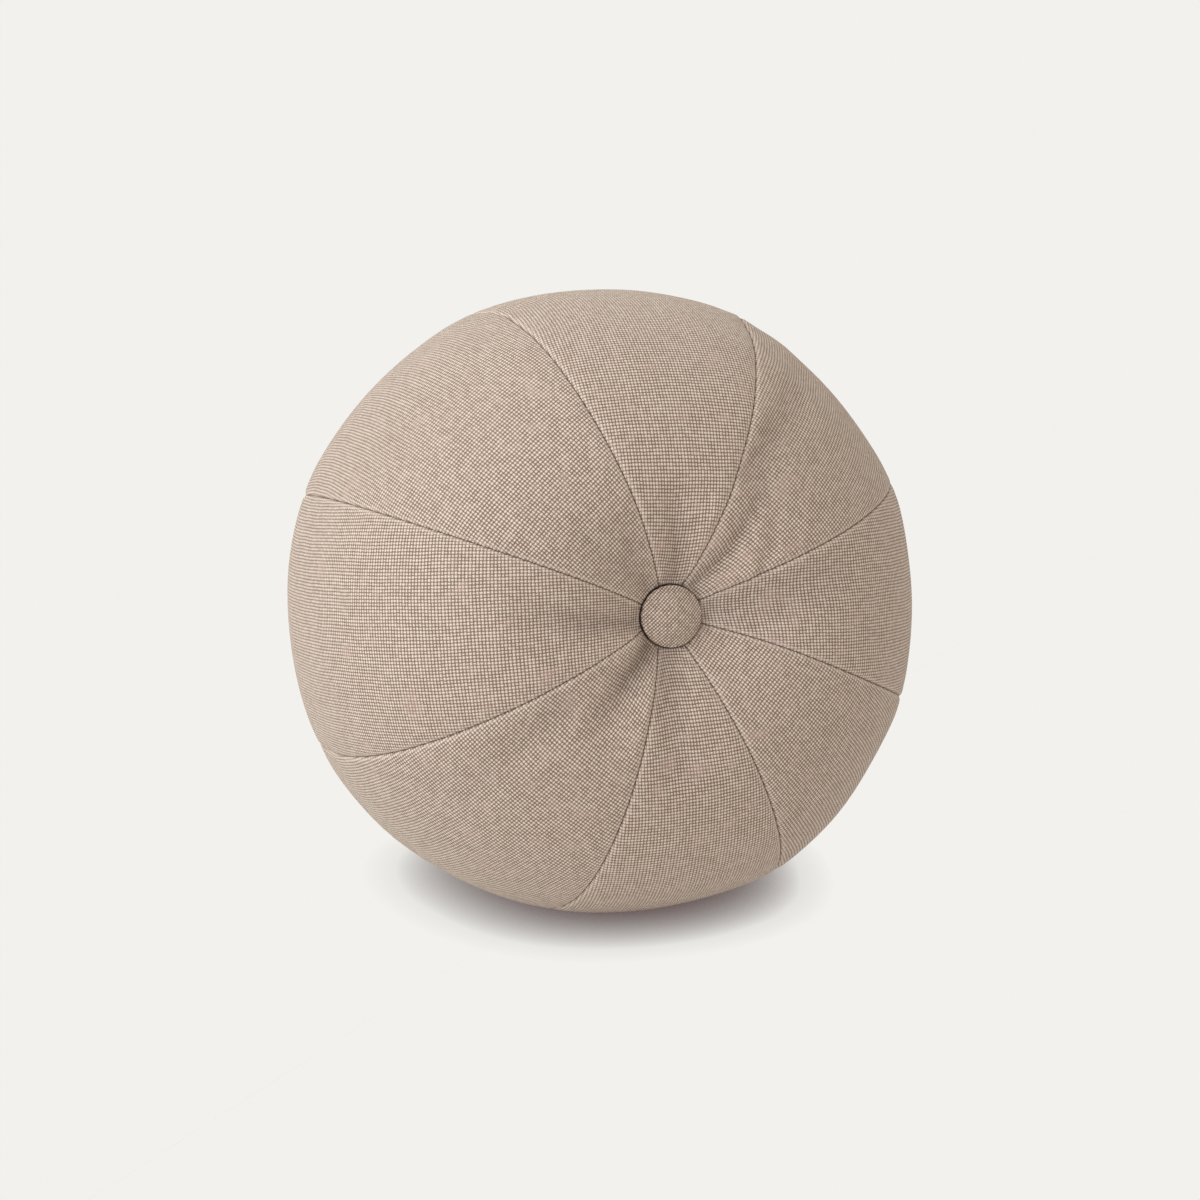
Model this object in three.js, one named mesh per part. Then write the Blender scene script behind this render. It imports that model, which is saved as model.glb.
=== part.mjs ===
/* A ball cushion: eight gores of woven cloth sewn into one filled ball and drawn in at both
   poles by a covered button.

   Lengths are millimetres and angles are degrees, with +Z up. The origin is the centre of the
   flat spot that the ball rests on. The front button faces -Y and a little upwards.

   A place on the cover is given by its polar angle, 0 at the front button and 180 at the back
   one, and by its longitude round the line through both, counter-clockwise from +X as seen
   from the front. */

import * as THREE from 'three';

// Driving dimensions of the ball
const SEAM_RADIUS = 151.5; // over the seams, halfway between the buttons
const POLE_SHARE = 0.935; // depth from pole to pole before tufting, as a share of the diameter
const FULLNESS = 2.32; // power of the meridian's superellipse: 2 is an ellipse, more is boxier
const AXIS_TILT = 10.5; // how far the front button looks up
const CENTRE_HEIGHT = 141; // above the surface that the ball rests on

// The hollow that the twine draws in under each button
const TUFT_SHARE = 0.235; // deepest, as a share of the distance to the centre
const TUFT_SPREAD = 17.2;
const TUFT_POWER = 1.75;

// The lower flank bulges where the filling sags, at this angle from straight down
const SAG_SHARE = 0.02;
const SAG_ANGLE = 44;
const SAG_SPREAD = 18;

// The sewn channel along each seam
const SEAM_DEPTH = 1.5;
const SEAM_HALF_WIDTH = 2.1;
const SEAM_SWING = 26; // how far from a button a seam keeps the longitude it has there

// A covered button and the pocket that it sits in
const BUTTON_RADIUS = 14.25;
const BUTTON_RIM = { foot: 1.2, top: 3.4 };
const BUTTON_HEIGHT = 7.8;
const POCKET_RADIUS = 14.9;
const POCKET_DEPTH = 4;
const LIP_POLAR = 7.9; // where the cover turns down into the pocket
const CLEARANCE = 0.3;

/* One row for each gore, counter-clockwise. The first four columns belong to the seam that
   starts it: its longitude at the front button, halfway, and at the back button, and how far it
   stands proud of an even ball. flat says how much the cloth pulls straight across the gore,
   from 0, round, to 1, a flat panel. */
const GORES = [
  { front: -16.5, middle: -22, back: -25, proud: -0.2, flat: 0.26 },
  { front: 24, middle: 21, back: 19, proud: -1.2, flat: 0.3 },
  { front: 63.5, middle: 64, back: 66, proud: 1.6, flat: 0.23 },
  { front: 108, middle: 109.5, back: 112, proud: 0.8, flat: 0.19 },
  { front: 154.5, middle: 156.5, back: 155, proud: -0.3, flat: 0.1 },
  { front: 203, middle: 204.5, back: 203, proud: 0.1, flat: 0.14 },
  { front: 247.5, middle: 253, back: 250, proud: -0.6, flat: 0.2 },
  { front: 294.5, middle: 296, back: 294, proud: 0.4, flat: 0.17 },
];

/* One row for each fold in the cloth, pinched up by a button. It runs out from start to end, from
   one longitude to another, and reaches its depth over the length of its rise. Its two flanks
   are seldom alike: before is the width of the one at smaller longitudes, after of the other.
   A depth under 0 is a ridge. */
const FRONT_FOLDS = [
  { from: 44.5, to: 54, start: 11, rise: 11, end: 92, before: 3.8, after: 4, depth: 3.2 },
  { from: 78.5, to: 92, start: 11, rise: 11, end: 66, before: 6.8, after: 5.5, depth: 4.2 },
  { from: 124, to: 134, start: 11, rise: 11, end: 48, before: 2.8, after: 3.4, depth: 2.6 },
  { from: 187.5, to: 170.5, start: 11, rise: 11, end: 88, before: 6, after: 4.7, depth: 4 },
  { from: 228, to: 225.5, start: 11, rise: 11, end: 70, before: 4, after: 7, depth: 6.2 },
  { from: 262, to: 270.5, start: 11, rise: 11, end: 96, before: 8.5, after: 6.6, depth: 2.7 },
  { from: 4, to: 14, start: 11, rise: 11, end: 110, before: 12, after: 9, depth: 2.8 },
  { from: 22, to: 53, start: 40, rise: 8, end: 82, before: 5, after: 6, depth: 1.4 },
  { from: 62, to: 49, start: 62, rise: 14, end: 160, before: 12, after: 4, depth: 1.9 },
  { from: 121, to: 121, start: 30, rise: 8, end: 58, before: 6.5, after: 3, depth: 1.8 },
  { from: 141, to: 133, start: 30, rise: 8, end: 96, before: 2.8, after: 2, depth: 0.8 },
  { from: 212, to: 220.5, start: 50, rise: 20, end: 144, before: 8, after: 7, depth: 1.2 },
  { from: 27, to: 27, start: 14, rise: 8, end: 88, before: 2.5, after: 13, depth: -1.6 },
  { from: 68.5, to: 69, start: 14, rise: 8, end: 71, before: 2.5, after: 13, depth: -2.4 },
  { from: 191, to: 200, start: 14, rise: 8, end: 66, before: 13, after: 12, depth: -2.6 },
  { from: 245.5, to: 247, start: 14, rise: 8, end: 86, before: 9.5, after: 2.5, depth: -2.4 },
];
const BACK_FOLDS = [
  { from: 42, to: 38, start: 11, rise: 11, end: 78, before: 4, after: 7, depth: 3.4 },
  { from: 92, to: 86, start: 11, rise: 11, end: 60, before: 6, after: 5, depth: 2.6 },
  { from: 134, to: 130, start: 11, rise: 11, end: 88, before: 4.5, after: 8, depth: 4.6 },
  { from: 181, to: 184, start: 11, rise: 11, end: 70, before: 7, after: 6, depth: 3.2 },
  { from: 226, to: 229, start: 11, rise: 11, end: 64, before: 5, after: 4, depth: 2.8 },
  { from: 272, to: 268, start: 11, rise: 11, end: 82, before: 7, after: 9, depth: 3.6 },
  { from: 318, to: 322, start: 11, rise: 11, end: 76, before: 4, after: 6, depth: 3.8 },
  { from: 24, to: 24, start: 14, rise: 8, end: 80, before: 3, after: 12, depth: -1.6 },
  { from: 160, to: 160, start: 14, rise: 8, end: 74, before: 3, after: 11, depth: -2 },
  { from: 246, to: 246, start: 14, rise: 8, end: 84, before: 11, after: 3, depth: -1.8 },
];

const FOLD_FADE = 1.5; // the higher, the sooner a fold grows shallow on its way out

// How finely the solids are faceted
const COVER_ROWS = 46;
const POLE_CROWDING = 0.7; // 0 spaces the rows evenly, towards 1 crowds them at the poles
const SHARES_FROM_SEAM = [0, 0.02, 0.05, 0.14, 0.34, 0.56, 0.78]; // of half a gore's width
const BUTTON_SEGMENTS = 48;
const DOME_STEPS = 7;

const CLOTH = { color: 0xb3a08f, roughness: 0.95, metalness: 0 };
const BUTTON_CLOTH = { color: 0xa59280, roughness: 0.95, metalness: 0 };

const sin = (angle) => Math.sin(THREE.MathUtils.degToRad(angle));
const cos = (angle) => Math.cos(THREE.MathUtils.degToRad(angle));
const bell = (distance) => Math.exp(-distance * distance);

const centre = new THREE.Vector3(0, 0, CENTRE_HEIGHT);
const frontWay = new THREE.Vector3(0, -cos(AXIS_TILT), sin(AXIS_TILT));
const rightWay = new THREE.Vector3(1, 0, 0);
const upWay = new THREE.Vector3().crossVectors(frontWay, rightWay);

// A point from its distance along the button axis and its reach out from it
function place(along, reach, longitude) {
  return centre
    .clone()
    .addScaledVector(frontWay, along)
    .addScaledVector(rightWay, reach * cos(longitude))
    .addScaledVector(upWay, reach * sin(longitude));
}

// Distance of the smooth cover from the ball's centre
function meridianRadius(polar) {
  const across = Math.abs(sin(polar)) ** FULLNESS;
  const along = Math.abs(cos(polar) / POLE_SHARE) ** FULLNESS;
  const plump = SEAM_RADIUS / (across + along) ** (1 / FULLNESS);
  const fromPole = Math.min(polar, 180 - polar);
  return plump * (1 - TUFT_SHARE * Math.exp(-((fromPole / TUFT_SPREAD) ** TUFT_POWER)));
}

function seamLongitude(seam, polar) {
  const nearFront = bell(polar / SEAM_SWING);
  const nearBack = bell((180 - polar) / SEAM_SWING);
  return (
    seam.middle + (seam.front - seam.middle) * nearFront + (seam.back - seam.middle) * nearBack
  );
}

const nextGore = (index) => GORES[(index + 1) % GORES.length];

// The middle longitude and half the angle of a gore at a polar angle
function goreSpan(index, polar) {
  const first = seamLongitude(GORES[index], polar);
  const last = seamLongitude(nextGore(index), polar);
  const turn = index === GORES.length - 1 ? 360 : 0;
  return { middle: (first + last + turn) / 2, half: (last + turn - first) / 2 };
}

// How deep the folds lie at a reach from the button axis
function foldDepth(folds, reach, longitude) {
  let depth = 0;
  for (const fold of folds) {
    const run = THREE.MathUtils.clamp((reach - fold.start) / (fold.end - fold.start), 0, 1);
    const trough = THREE.MathUtils.lerp(fold.from, fold.to, run);
    const turned = THREE.MathUtils.euclideanModulo(longitude - trough + 180, 360) - 180;
    const aside = reach * THREE.MathUtils.degToRad(turned);
    const flank = bell(aside / (turned < 0 ? fold.before : fold.after));
    const rise = THREE.MathUtils.smoothstep(reach, fold.start, fold.start + fold.rise);
    depth += fold.depth * rise * cos(90 * run) ** FOLD_FADE * flank;
  }
  return depth;
}

// A point of the cover: side runs from -1 at a gore's first seam to 1 at its second
function coverPoint(polar, gore, side) {
  const { middle, half } = goreSpan(gore, polar);
  const longitude = middle + side * half;
  const straight = cos(half) / cos(side * half);
  const pulled = 1 - GORES[gore].flat * sin(polar) ** 2 * (1 - straight);
  const share = (side + 1) / 2;
  const proud = THREE.MathUtils.lerp(GORES[gore].proud, nextGore(gore).proud, share);
  let radius = meridianRadius(polar) * pulled + proud * sin(polar) ** 2;

  const reach = radius * sin(polar);
  const fromSeam = reach * THREE.MathUtils.degToRad(half * (1 - Math.abs(side)));
  radius -= SEAM_DEPTH * bell(fromSeam / SEAM_HALF_WIDTH);
  radius -= foldDepth(polar < 90 ? FRONT_FOLDS : BACK_FOLDS, reach, longitude);
  return place(radius * cos(polar), radius * sin(polar), longitude);
}

// Sags the lower flank and flattens the spot that the ball rests on
function settle(point) {
  const out = point.clone().sub(centre);
  const fromDown = THREE.MathUtils.radToDeg(out.angleTo(new THREE.Vector3(0, 0, -1)));
  out.multiplyScalar(1 + SAG_SHARE * bell((fromDown - SAG_ANGLE) / SAG_SPREAD));
  out.add(centre);
  out.z = Math.max(out.z, 0);
  return out;
}

const lipHeight = meridianRadius(LIP_POLAR) * cos(LIP_POLAR);
const pocketFloor = lipHeight - POCKET_DEPTH;

// Polar angles of the cover's rows, closer together near the buttons
function rowAngles() {
  const span = 180 - 2 * LIP_POLAR;
  return Array.from({ length: COVER_ROWS }, (_, row) => {
    const share = row / (COVER_ROWS - 1);
    const crowded = share - (POLE_CROWDING * Math.sin(2 * Math.PI * share)) / (2 * Math.PI);
    return LIP_POLAR + span * crowded;
  });
}

// The columns round the ball, each a gore and a side within it
function columns() {
  const rising = SHARES_FROM_SEAM.map((share) => share - 1);
  const falling = SHARES_FROM_SEAM.slice(1).reverse().map((share) => 1 - share);
  const sides = [...rising, 0, ...falling];
  return GORES.flatMap((_, gore) => sides.map((side) => ({ gore, side })));
}

// Rings of points under a button: way is 1 at the front and -1 at the back
function pocketRings(way) {
  const polar = way > 0 ? LIP_POLAR : 180 - LIP_POLAR;
  return [POCKET_RADIUS, POCKET_RADIUS / 2].map((reach) =>
    columns().map(({ gore, side }) => {
      const { middle, half } = goreSpan(gore, polar);
      return place(way * pocketFloor, reach, middle + side * half);
    }),
  );
}

// A closed surface over rings of equal length, from one end point to the other
function closedSurface(start, rings, end) {
  const around = rings[0].length;
  const points = [start, ...rings.flat(), end];
  const faces = [];
  for (let column = 0; column < around; column += 1) {
    const next = (column + 1) % around;
    faces.push(0, 1 + column, 1 + next);
    for (let ring = 0; ring < rings.length - 1; ring += 1) {
      const here = 1 + ring * around;
      const below = here + around;
      faces.push(here + column, below + column, below + next);
      faces.push(here + column, below + next, here + next);
    }
    const last = 1 + (rings.length - 1) * around;
    faces.push(last + column, points.length - 1, last + next);
  }
  const geometry = new THREE.BufferGeometry().setFromPoints(points);
  geometry.setIndex(faces);
  geometry.computeVertexNormals();
  return geometry;
}

// The filled cover, as one solid
function cushion() {
  const cover = rowAngles().map((polar) =>
    columns().map(({ gore, side }) => settle(coverPoint(polar, gore, side))),
  );
  const rings = [...pocketRings(1).reverse(), ...cover, ...pocketRings(-1)];
  const geometry = closedSurface(place(pocketFloor, 0, 0), rings, place(-pocketFloor, 0, 0));
  const mesh = new THREE.Mesh(geometry, new THREE.MeshStandardMaterial(CLOTH));
  mesh.name = 'cushion';
  return mesh;
}

// A domed button, turned about its own +Y axis from its flat back up
function buttonGeometry() {
  const rise = BUTTON_HEIGHT - BUTTON_RIM.top;
  const domeRadius = (BUTTON_RADIUS ** 2 + rise ** 2) / (2 * rise);
  const edgeAngle = Math.asin(BUTTON_RADIUS / domeRadius);
  const profile = [
    new THREE.Vector2(0, 0),
    new THREE.Vector2(BUTTON_RADIUS - BUTTON_RIM.foot, 0),
    new THREE.Vector2(BUTTON_RADIUS, BUTTON_RIM.foot),
  ];
  for (let step = 0; step < DOME_STEPS; step += 1) {
    const angle = edgeAngle * (1 - step / DOME_STEPS);
    const height = BUTTON_HEIGHT - domeRadius * (1 - Math.cos(angle));
    profile.push(new THREE.Vector2(domeRadius * Math.sin(angle), height));
  }
  profile.push(new THREE.Vector2(0, BUTTON_HEIGHT));
  return new THREE.LatheGeometry(profile, BUTTON_SEGMENTS);
}

// way is 1 for the front button and -1 for the back one
function button(name, way) {
  const mesh = new THREE.Mesh(buttonGeometry(), new THREE.MeshStandardMaterial(BUTTON_CLOTH));
  mesh.name = name;
  mesh.position.copy(place(way * (pocketFloor + CLEARANCE), 0, 0));
  const facing = frontWay.clone().multiplyScalar(way);
  mesh.quaternion.setFromUnitVectors(new THREE.Vector3(0, 1, 0), facing);
  return mesh;
}

const ballCushion = new THREE.Group();
ballCushion.add(cushion(), button('button_front', 1), button('button_back', -1));

export default ballCushion;
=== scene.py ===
# %% [markdown]
# # A ball cushion in woven cloth
#
# A ball cushion is eight long pointed pieces of cloth, called gores, sewn edge to edge and stuffed.
# A twine runs through the filling, from a covered button in front to another at the back, and
# draws both ends in. This script dresses the imported model of such a cushion. It keeps every size
# and place of the model, and adds what only a fine mesh and a material can show.
#
# The model is loaded first, because everything here is placed by it.

import math

import bmesh
import bpy
import numpy as np
from mathutils import Matrix, Vector, noise


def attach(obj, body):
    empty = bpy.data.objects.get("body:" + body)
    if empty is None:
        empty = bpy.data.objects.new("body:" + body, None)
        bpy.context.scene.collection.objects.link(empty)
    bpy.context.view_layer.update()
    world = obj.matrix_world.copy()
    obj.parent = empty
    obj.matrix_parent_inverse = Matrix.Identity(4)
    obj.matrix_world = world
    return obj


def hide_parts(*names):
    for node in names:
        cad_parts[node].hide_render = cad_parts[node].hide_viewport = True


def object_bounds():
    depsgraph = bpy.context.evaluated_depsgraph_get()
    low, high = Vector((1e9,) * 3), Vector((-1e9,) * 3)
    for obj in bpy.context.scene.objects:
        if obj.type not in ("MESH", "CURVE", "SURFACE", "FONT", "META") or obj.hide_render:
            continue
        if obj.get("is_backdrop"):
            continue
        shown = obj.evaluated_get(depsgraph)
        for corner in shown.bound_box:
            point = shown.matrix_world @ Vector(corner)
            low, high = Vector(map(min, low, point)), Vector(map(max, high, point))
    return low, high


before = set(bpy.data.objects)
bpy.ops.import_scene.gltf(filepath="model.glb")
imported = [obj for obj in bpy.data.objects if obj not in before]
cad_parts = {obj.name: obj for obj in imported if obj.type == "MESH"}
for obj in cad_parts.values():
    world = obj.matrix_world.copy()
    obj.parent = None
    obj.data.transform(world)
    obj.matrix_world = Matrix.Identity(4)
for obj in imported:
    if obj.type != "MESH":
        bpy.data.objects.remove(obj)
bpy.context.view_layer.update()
print("packed pieces:", ", ".join(sorted(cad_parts)))

# %% [markdown]
# ## Where the camera stands
#
# The ball is seen from a little to the left of its button and from a little above. A camera is
# placed by a turn round the ball, a rise above the floor and a distance, and aimed at a point
# close to the ball's middle. The lens is a long one, so the ball shows as almost a circle. A wide
# lens close by would make the front of the ball swell.

# %% Camera
CENTRE = Vector((0, 0, 0.141))
VIEW_TURN = math.radians(-16.8)
VIEW_RISE = math.radians(14.9)
VIEW_DISTANCE = 1.5
AIM_OFFSET = (0.0003, -0.0002)  # right and up from the ball's middle, as the camera sees them
LENS = 92.4


def from_direction(turn, rise):
    """A unit vector from the ball towards a place, by its turn from the front and its rise."""
    return Vector(
        (math.sin(turn) * math.cos(rise), -math.cos(turn) * math.cos(rise), math.sin(rise))
    )


def add_object(name, data):
    """Puts a camera, a lamp or a mesh into the scene."""
    added = bpy.data.objects.new(name, data)
    bpy.context.scene.collection.objects.link(added)
    return added


def add_camera():
    data = bpy.data.cameras.new("camera")
    data.lens = LENS
    camera = add_object("camera", data)
    back = from_direction(VIEW_TURN, VIEW_RISE)
    turned = (-back).to_track_quat("-Z", "Y")
    right, up = turned @ Vector((1, 0, 0)), turned @ Vector((0, 1, 0))
    camera.location = CENTRE + back * VIEW_DISTANCE + right * AIM_OFFSET[0] + up * AIM_OFFSET[1]
    camera.rotation_mode = "QUATERNION"
    camera.rotation_quaternion = turned
    bpy.context.scene.camera = camera
    return camera


print("camera stands at", [round(x, 3) for x in add_camera().location])

# %% [markdown]
# ## A small language for materials
#
# A material is a graph of nodes, and its sums are Math nodes wired to each other. Written out node
# by node, a short formula takes a page. So one small class wraps a node's output, and its
# operators add the Math nodes: `1 - mask` reads as what it means. Every other kind of node comes
# from one method, which takes the kind, its settings, and the values or wires of its sockets.

# %% Sockets that can be added and multiplied
class Wire:
    """An output of a node. Arithmetic on it adds Math nodes to the same material."""

    def __init__(self, tree, socket=None):
        self.tree = tree
        self.socket = socket

    def node(self, kind, inputs=None, output=0, **settings):
        """Adds a node of any kind and returns one of its outputs, by its name or number."""
        made = self.tree.nodes.new("ShaderNode" + kind)
        for name, value in settings.items():
            setattr(made, name, value)
        for name, value in (inputs or {}).items():
            if isinstance(value, Wire):
                self.tree.links.new(value.socket, made.inputs[name])
            else:
                made.inputs[name].default_value = value
        return Wire(self.tree, made.outputs[output])

    def math(self, operation, *others):
        """A Math node on this wire and the others."""
        return self.node("Math", dict(enumerate((self, *others))), operation=operation)

    def __add__(self, other):
        return self.math("ADD", other)

    def __sub__(self, other):
        return self.math("SUBTRACT", other)

    def __rsub__(self, other):
        return self * -1 + other

    def __mul__(self, other):
        return self.math("MULTIPLY", other)

    def __truediv__(self, other):
        return self.math("DIVIDE", other)

    def __pow__(self, other):
        return self.math("POWER", other)

    def __abs__(self):
        return self.math("ABSOLUTE")

    __radd__ = __add__
    __rmul__ = __mul__


def new_material(name):
    """An empty material, its wire to build on, and its output node."""
    material = bpy.data.materials.new(name)
    material.use_nodes = True
    material.node_tree.nodes.clear()
    output = material.node_tree.nodes.new("ShaderNodeOutputMaterial")
    return material, Wire(material.node_tree), output


def steps(wire, low, high):
    """Rises smoothly from 0 to 1 as the wire's value goes from low to high."""
    ends = {"Value": wire, "From Min": low, "From Max": high}
    return wire.node("MapRange", ends, interpolation_type="SMOOTHSTEP")


def blend(factor, first, second):
    """Mixes two colours by a wire. The Mix node's sockets 6 and 7 are for colours, as is output 2."""
    return factor.node("Mix", {0: factor, 6: first, 7: second}, 2, data_type="RGBA")


print("ready to write materials as sums")

# %% [markdown]
# ## A plain floor and a soft light
#
# The ball stands on a pale floor that runs into a pale background with no line between them. Two
# wide soft lights stand at the left, one high at the side and one low in front, and the pale room
# around gives the rest. Wide lights give the long, slow change from light to dark that shows how
# full the ball is. Their light is a little cooler than the room's, as daylight is, so the cloth
# looks warmer on the side turned away from them.
#
# The floor has the background's own colour and takes no light from the lamps, so no horizon and no
# cast shadow show. Only close under the ball is it dark, where the ball keeps the light of the room
# out. The Ambient Occlusion node gives just that: how open the sky is over each point. It is asked
# about a sky that leans to the left and front, so the dark reaches out further at the right. From
# below the floor is clear, so that the underside of the ball can be looked at too.

# %% Floor, background and light
BACKGROUND = (0.888, 0.880, 0.847, 1)
FLOOR_HALF = 40.0
FLOOR_DROP = 0.0002
SHADOW = (0.06, 0.02, 0.02, 1)
SHADOW_REACHES = {0.020: 0.65, 0.030: 0.35}  # reach above the floor, and its share of the shadow
SHADOW_SAMPLES = 8
LIGHT_FROM = (-0.3, -0.2, 0.93)  # most of the room's light comes from above, left and front
COOL = (0.81, 0.91, 1.0)
SPREAD = math.radians(40)  # the angle that a light fills in the sky
LIGHTS = {"side light": (-100, 40, 1.72), "front light": (-60, 15, 1.50)}  # turn, rise, strength


def sun(name, turn, rise, strength):
    """A soft light from far away."""
    data = bpy.data.lights.new(name, "SUN")
    data.energy = strength
    data.angle = SPREAD
    data.color = COOL
    light = add_object(name, data)
    towards = from_direction(math.radians(turn), math.radians(rise))
    light.rotation_euler = towards.to_track_quat("Z", "Y").to_euler()
    return light


def add_background():
    world = bpy.data.worlds.new("background")
    bpy.context.scene.world = world
    world.use_nodes = True
    world.node_tree.nodes["Background"].inputs["Color"].default_value = BACKGROUND


def floor_material():
    """The background's colour, darker where something stands close over it, and clear from below."""
    material, wire, output = new_material("pale floor")
    sky = wire.node("CombineXYZ", dict(zip("XYZ", LIGHT_FROM)))
    openness = 0
    for reach, share in SHADOW_REACHES.items():
        near = {"Distance": reach, "Normal": sky}
        openness += wire.node("AmbientOcclusion", near, "AO", samples=SHADOW_SAMPLES) * share
    glow = wire.node("Emission", {"Color": blend(openness, SHADOW, BACKGROUND)})
    from_below = wire.node("NewGeometry", output="Backfacing")
    surface = wire.node("MixShader", {0: from_below, 1: glow, 2: wire.node("BsdfTransparent")})
    material.node_tree.links.new(surface.socket, output.inputs["Surface"])
    return material


def mesh_of(bm, name):
    """Ends the work on a bmesh, and returns it as a mesh."""
    mesh = bpy.data.meshes.new(name)
    bm.to_mesh(mesh)
    bm.free()
    return mesh


def add_floor():
    bm = bmesh.new()
    bmesh.ops.create_grid(bm, x_segments=1, y_segments=1, size=FLOOR_HALF)
    bmesh.ops.translate(bm, verts=bm.verts, vec=(0, 0, -FLOOR_DROP))
    mesh = mesh_of(bm, "floor")
    mesh.materials.append(floor_material())
    floor = add_object("floor", mesh)
    floor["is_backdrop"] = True
    return floor


bpy.context.scene.view_settings.view_transform = "Standard"
add_background()
lights = [sun(name, *row) for name, row in LIGHTS.items()]
print("lights:", [light.name for light in lights], "on", add_floor().name)

# %% [markdown]
# ## The measures of the ball
#
# A place on the cover is named like a place on a globe that lies on its side: a polar angle, from 0
# at the front button to 180 at the back one, and a longitude round the line through both. The
# model's own formula gives the cover's distance from the middle of the ball for each such place.
# The fine mesh follows the same formula with the same numbers, so it lies on the model all over.
#
# Each gore has a row in a table: where its first seam runs, how proud that seam stands, and how
# flat the cloth is pulled across the gore. Real gores are never quite alike.

# %% Sizes of the ball
SEAM_RADIUS = 0.1515
POLE_SHARE = 0.935
FULLNESS = 2.32
AXIS_TILT = math.radians(10.5)
TUFT_SHARE = 0.235
TUFT_SPREAD = 17.2
TUFT_POWER = 1.75
SAG_SHARE = 0.02
SAG_ANGLE = 44
SAG_SPREAD = 18
SEAM_SWING = 26
LIP_POLAR = 7.9

GORES = [
    {"front": -16.5, "middle": -22, "back": -25, "proud": -0.0002, "flat": 0.26},
    {"front": 24, "middle": 21, "back": 19, "proud": -0.0012, "flat": 0.30},
    {"front": 63.5, "middle": 64, "back": 66, "proud": 0.0016, "flat": 0.23},
    {"front": 108, "middle": 109.5, "back": 112, "proud": 0.0008, "flat": 0.19},
    {"front": 154.5, "middle": 156.5, "back": 155, "proud": -0.0003, "flat": 0.10},
    {"front": 203, "middle": 204.5, "back": 203, "proud": 0.0001, "flat": 0.14},
    {"front": 247.5, "middle": 253, "back": 250, "proud": -0.0006, "flat": 0.20},
    {"front": 294.5, "middle": 296, "back": 294, "proud": 0.0004, "flat": 0.17},
]
SEAMS = {key: np.array([row[key] for row in GORES], float) for key in GORES[0]}

MIDDLE = np.array(CENTRE)
front_way = np.array((0, -math.cos(AXIS_TILT), math.sin(AXIS_TILT)))
right_way = np.array((1.0, 0, 0))
up_way = np.cross(front_way, right_way)
print(len(GORES), "gores, front button faces", front_way.round(3))

# %% The cover's form
def bell(x):
    """1 at 0, falling away smoothly on both sides."""
    return np.exp(-x * x)


def sin(angle):
    """Of an angle in degrees."""
    return np.sin(np.radians(angle))


def cos(angle):
    """Of an angle in degrees."""
    return np.cos(np.radians(angle))


def meridian_radius(polar):
    """How far the smooth cover is from the ball's middle."""
    across = np.abs(sin(polar)) ** FULLNESS
    along = np.abs(cos(polar) / POLE_SHARE) ** FULLNESS
    plump = SEAM_RADIUS / (across + along) ** (1 / FULLNESS)
    from_pole = np.minimum(polar, 180 - polar)
    return plump * (1 - TUFT_SHARE * np.exp(-((from_pole / TUFT_SPREAD) ** TUFT_POWER)))


def seam_longitude(index, polar):
    """Seams are counted on past the last one, a full turn further."""
    row = index % len(GORES)
    near_front = (SEAMS["front"][row] - SEAMS["middle"][row]) * bell(polar / SEAM_SWING)
    near_back = (SEAMS["back"][row] - SEAMS["middle"][row]) * bell((180 - polar) / SEAM_SWING)
    return SEAMS["middle"][row] + near_front + near_back + 360 * (index // len(GORES))


def gore_span(gore, polar):
    """The middle longitude of a gore and half the angle that it fills, at a polar angle."""
    first, last = seam_longitude(gore, polar), seam_longitude(gore + 1, polar)
    return (first + last) / 2, (last - first) / 2


def place(along, reach, longitude):
    """A point by its distance along the button line, its reach out from it, and its longitude."""
    along, reach = np.asarray(along)[..., None], np.asarray(reach)[..., None]
    aside = cos(longitude)[..., None] * right_way + sin(longitude)[..., None] * up_way
    return MIDDLE + along * front_way + reach * aside


def settle(points):
    """Sags the lower flank and flattens the spot that the ball rests on."""
    out = points - MIDDLE
    from_down = np.degrees(np.arccos(-out[..., 2] / np.linalg.norm(out, axis=-1)))
    swell = 1 + SAG_SHARE * bell((from_down - SAG_ANGLE) / SAG_SPREAD)
    settled = out * swell[..., None] + MIDDLE
    settled[..., 2] = np.maximum(settled[..., 2], 0)
    return settled


print("reach of the cover halfway:", round(1000 * float(meridian_radius(90)), 1), "mm")

# %% [markdown]
# ## Folds that the twine pinches up
#
# A round cover has too much cloth near the button for the small ring that it is drawn into. The
# spare cloth lies in folds that run out from the button and fade. They could be left to a cloth
# simulation, but then they would fall where they like. Each one here has a row of its own, at the
# place where it shows, and the simulation only softens them.
#
# A fold seldom has two flanks alike: the cloth slopes down slowly on one side and steeply on the
# other. So each row has a width before and a width after its lowest line. A row with a depth under
# 0 is a ridge, where spare cloth bulges beside a seam. The lengths are in millimetres here, which
# keeps the rows short.
#
# Along the bottom of the deepest folds the cloth is bent sharply, and a narrow crease stays in it.
# Between the folds are many small puckers, too small to be told apart. Those come from a seeded
# draw, so they are the same each time.

# %% Folds and puckers
FOLD_COLUMNS = ("from", "to", "start", "rise", "end", "before", "after", "depth")


def fold_table(*rows):
    """Gives each number of a row the name of its column."""
    return [dict(zip(FOLD_COLUMNS, row)) for row in rows]


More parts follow.
